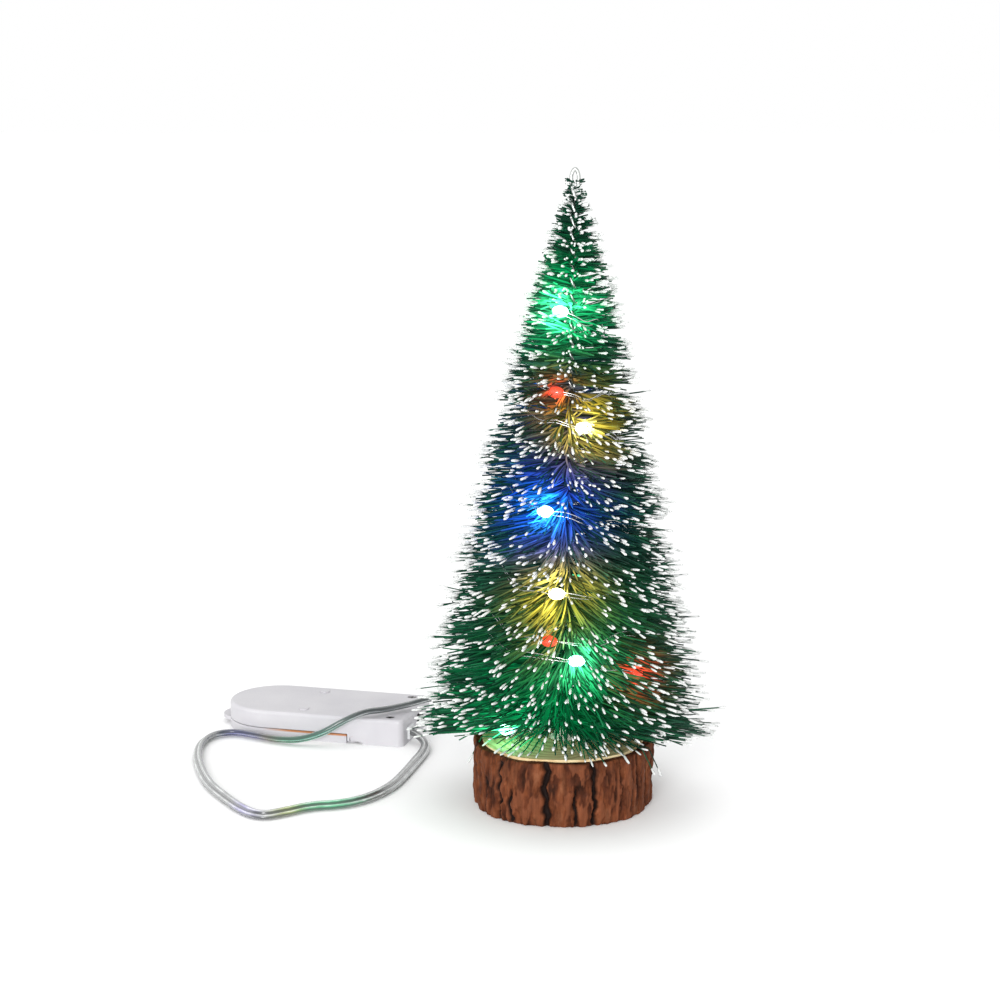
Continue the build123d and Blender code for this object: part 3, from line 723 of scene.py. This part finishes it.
def add_bristles():
    """All the bristles, in three bands, and the flocked tips."""
    lines, tipped = bristle_lines()
    skirt = skirt_lines()
    lines = in_world(np.concatenate([lines, skirt]))
    tipped = np.concatenate([tipped, np.ones(len(skirt), bool)])
    film, flock = bristle_material(), tip_material()
    catch = 0.06 + 1.6 * rng.uniform(0.0, 1.0, len(lines)) ** 2.2
    shade = rng.uniform(0.0, 1.0, len(lines))
    low = lines[:, 0, 2]
    bands = (("low", low < 60.0), ("middle", (low >= 60.0) & (low < 105.0)), ("top", low >= 105.0))
    for name, band in bands:
        held = lines[band]
        radii = np.linspace(0.25, 0.21, len(LINE_STEPS))[None, :] * rng.uniform(0.8, 1.25, (len(held), 1))
        vertices, faces = tubes(held, radii, BRISTLE_SIDES)
        piece = mesh_piece("bristles_" + name, vertices, faces, film)
        per = len(LINE_STEPS) * BRISTLE_SIDES
        glow = (lamp_glow(vertices) + green_haze(vertices)) * np.repeat(catch[band], per)[:, None]
        store(piece, "glow", np.minimum(glow, 4.0))
        store(piece, "shade", np.repeat(shade[band], per))
        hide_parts("bristle_brush")
    ends = lines[tipped]
    way = unit(ends[:, -1] - ends[:, -2])
    long = rng.uniform(1.7, 3.8, (len(ends), 1))
    centres = ends[:, -1][:, None, :] + (TIP_ALONG[None, :] * long)[..., None] * way[:, None, :]
    wide = rng.uniform(0.24, 0.44, (len(ends), 1)) * TIP_PROFILE
    vertices, faces = tubes(centres, wide, TIP_SIDES, wobble=0.16)
    piece = mesh_piece("flocked_tips", vertices, faces, flock)
    glow = 0.6 * lamp_glow(vertices) * np.repeat(catch[tipped], len(TIP_ALONG) * TIP_SIDES)[:, None]
    store(piece, "glow", np.minimum(glow, 2.5))
    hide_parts("bristle_brush")


# ---------------------------------------------------------------- the lamp string

def silver_material():
    """Bare silvery wire."""
    mat, shader = material("silver_wire", Metallic=1.0, Roughness=0.28)
    shade = ramp(mat, grain(mat, 600.0), (0.3, (0.52, 0.53, 0.54)), (0.7, (0.84, 0.85, 0.85)))
    link(mat, shade, shader.inputs["Base Color"])
    link(mat, spread(mat, grain(mat, 240.0), 0.3, 0.7, 0.2, 0.42), shader.inputs["Roughness"])
    return mat


def add_string():
    """The bare twin wire that carries the lamps, wound through the bristles."""
    start = np.array(STRING_START)
    turned = np.arange(STRING_CLIMB[0][0], STRING_CLIMB[-1][0] + 1, 6.0)
    wound = string_place(turned)
    lead_in = np.concatenate([start, wound[:1]])
    places = np.arange(len(lead_in))
    fine = np.linspace(0, len(lead_in) - 1, 40)[:-1]
    soft = np.stack([np.interp(fine, places, lead_in[:, k]) for k in range(3)], axis=1)
    line = np.concatenate([soft, wound])
    for _ in range(3):
        line[1:-1] = (line[:-2] + 2 * line[1:-1] + line[2:]) / 4
    line = in_world(line)
    to_lamp = np.linalg.norm(line[:, None, :] - LAMP_PLACES[None, :, :], axis=2).min(axis=1)
    slack = 1 - np.exp(-(to_lamp / 9.0) ** 2)
    slack[:10] = 0.0
    step = np.arange(len(line))
    line[:, 2] += slack * (1.3 * np.sin(step * 0.63) + 0.9 * np.sin(step * 0.29 + 1.0))
    level, upward = across(line[None])
    run = np.concatenate([[0.0], np.cumsum(np.linalg.norm(np.diff(line, axis=0), axis=1))])
    turn = 0.9 * np.sin(run / 9.0) + 0.6 * np.sin(run / 23.0)
    aside = WIRE_SPACING * (np.cos(turn)[:, None] * upward[0] + np.sin(turn)[:, None] * level[0])
    pair = np.stack([line - aside, line + aside])
    vertices, faces = tubes(pair, np.full(pair.shape[:2], WIRE_RADIUS), 7)
    piece = mesh_piece("string_pair", vertices, faces, silver_material())
    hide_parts("string_wire")


def lamp_material(name, pale, deep, strength):
    """A droplet of resin round a burning chip."""
    mat, shader = material(name, Roughness=0.12, Coat_Weight=0.4, Emission_Strength=strength)
    cells = grain(mat, 700.0, 2.0)
    link(mat, ramp(mat, cells, (0.3, pale), (0.7, deep)), shader.inputs["Base Color"])
    link(mat, ramp(mat, cells, (0.35, deep), (0.6, pale)), shader.inputs["Emission Color"])
    return mat


# ---------------------------------------------------------------- looks of the CAD nodes

BOX_DARK = (0.46, 0.45, 0.48)
BOX_LIGHT = (0.54, 0.53, 0.55)


def moulded(mat, shader, roughness):
    """The fine spark-eroded texture of moulded plastic."""
    fine = grain(mat, 1600.0, 3.0)
    link(mat, spread(mat, fine, 0.3, 0.7, roughness - 0.06, roughness + 0.08), shader.inputs["Roughness"])
    bump(mat, shader, fine, 0.5, 0.00006)


def plastic(name, dark, light, roughness):
    """Moulded plastic with slow changes of tone."""
    mat, shader = material(name, Roughness=roughness)
    shade = ramp(mat, grain(mat, 45.0), (0.3, dark), (0.7, light))
    link(mat, shade, shader.inputs["Base Color"])
    moulded(mat, shader, roughness)
    return mat


def cover_material():
    """The box's plastic, with an orange-brown band along the rim that meets the housing."""
    mat, shader = material("cover_plastic", Roughness=0.38)
    plain = ramp(mat, grain(mat, 45.0), (0.3, BOX_DARK), (0.7, BOX_LIGHT))
    axes = node(mat, "SeparateXYZ", {"Vector": place(mat)}).outputs
    # An orange-brown band along the cover's rim, stopping short of the box's left end.
    rim = spread(mat, axes["Z"], 0.0022, 0.0025, 0.0, 1.0)
    patch = spread(mat, axes["X"], -0.097, -0.088, 0.0, 1.0)
    rim_band = node(mat, "Math", {0: rim, 1: patch}, operation="MULTIPLY").outputs[0]
    link(mat, mix(mat, rim_band, plain, (0.42, 0.17, 0.065)), shader.inputs["Base Color"])
    moulded(mat, shader, 0.38)
    return mat


def metal(name, dark, light, roughness, brush=(1.0, 1.0, 1.0)):
    """Metal with a brushed or tumbled grain."""
    mat, shader = material(name, Metallic=1.0, Roughness=roughness)
    lay = grain(mat, 900.0, 4.0, brush)
    link(mat, ramp(mat, lay, (0.3, dark), (0.7, light)), shader.inputs["Base Color"])
    link(mat, spread(mat, lay, 0.3, 0.7, roughness - 0.08, roughness + 0.12), shader.inputs["Roughness"])
    bump(mat, shader, lay, 0.3, 0.00004)
    return mat


def paint(mat, *nodes):
    """Give CAD nodes a material."""
    for name in nodes:
        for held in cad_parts[name].material_slots:
            held.material = mat


def dress_cad():
    """Materials for every CAD node that shows as it is."""
    paint(plastic("box_plastic", BOX_DARK, BOX_LIGHT, 0.38), "box_housing", "end_plate")
    paint(cover_material(), "battery_cover")
    paint(wood_material(), "wood_disc")
    paint(metal("stem_steel", (0.30, 0.32, 0.31), (0.62, 0.64, 0.62), 0.35, (1, 1, 0.2)), "stem_wire")
    paint(plastic("hot_glue", (0.62, 0.60, 0.50), (0.78, 0.76, 0.68), 0.3), "glue_bead")
    paint(plastic("chip_ceramic", (0.60, 0.58, 0.48), (0.80, 0.78, 0.66), 0.45), "lamp_chips")
    paint(lamp_material("lamp_red", (0.90, 0.10, 0.05), (0.55, 0.02, 0.01), 0.9), "lamps_red")
    paint(lamp_material("lamp_green", (0.45, 1.0, 0.70), (0.05, 0.90, 0.35), 9.0), "lamps_green")
    paint(lamp_material("lamp_yellow", (1.0, 0.94, 0.55), (1.0, 0.80, 0.15), 12.0), "lamps_yellow")
    paint(lamp_material("lamp_blue", (0.50, 0.78, 1.0), (0.06, 0.40, 1.0), 12.0), "lamps_blue")
    paint(plastic("splice_sleeve", (0.70, 0.71, 0.70), (0.82, 0.83, 0.82), 0.3), "lead_splice")
    nickel = metal("nickel_plate", (0.50, 0.49, 0.46), (0.78, 0.77, 0.74), 0.3)
    paint(nickel, "series_link", "top_contact_outer", "top_contact_inner")
    paint(metal("screw_steel", (0.10, 0.10, 0.10), (0.42, 0.41, 0.40), 0.34), "box_screws")
    can = metal("cell_steel", (0.58, 0.58, 0.58), (0.80, 0.80, 0.79), 0.25)
    paint(can, "coin_cell_outer", "coin_cell_inner")
    black = plastic("black_plastic", (0.012, 0.012, 0.013), (0.030, 0.030, 0.032), 0.42)
    paint(black, "switch_body", "switch_knob")
    paint(plastic("clamp_plastic", (0.60, 0.61, 0.62), (0.72, 0.73, 0.74), 0.4), "cord_clamp")
    paint(plastic("board_laminate", (0.010, 0.085, 0.035), (0.020, 0.140, 0.060), 0.4), "circuit_board")
    paint(plastic("resistor_body", (0.45, 0.33, 0.18), (0.60, 0.46, 0.28), 0.5), "series_resistor")
    paint(metal("tinned_tails", (0.55, 0.55, 0.56), (0.80, 0.80, 0.80), 0.3), "lead_tails")


# ---------------------------------------------------------------- build

add_camera()
add_surroundings()
add_lead()
add_bark()
add_bristles()
add_string()
dress_cad()
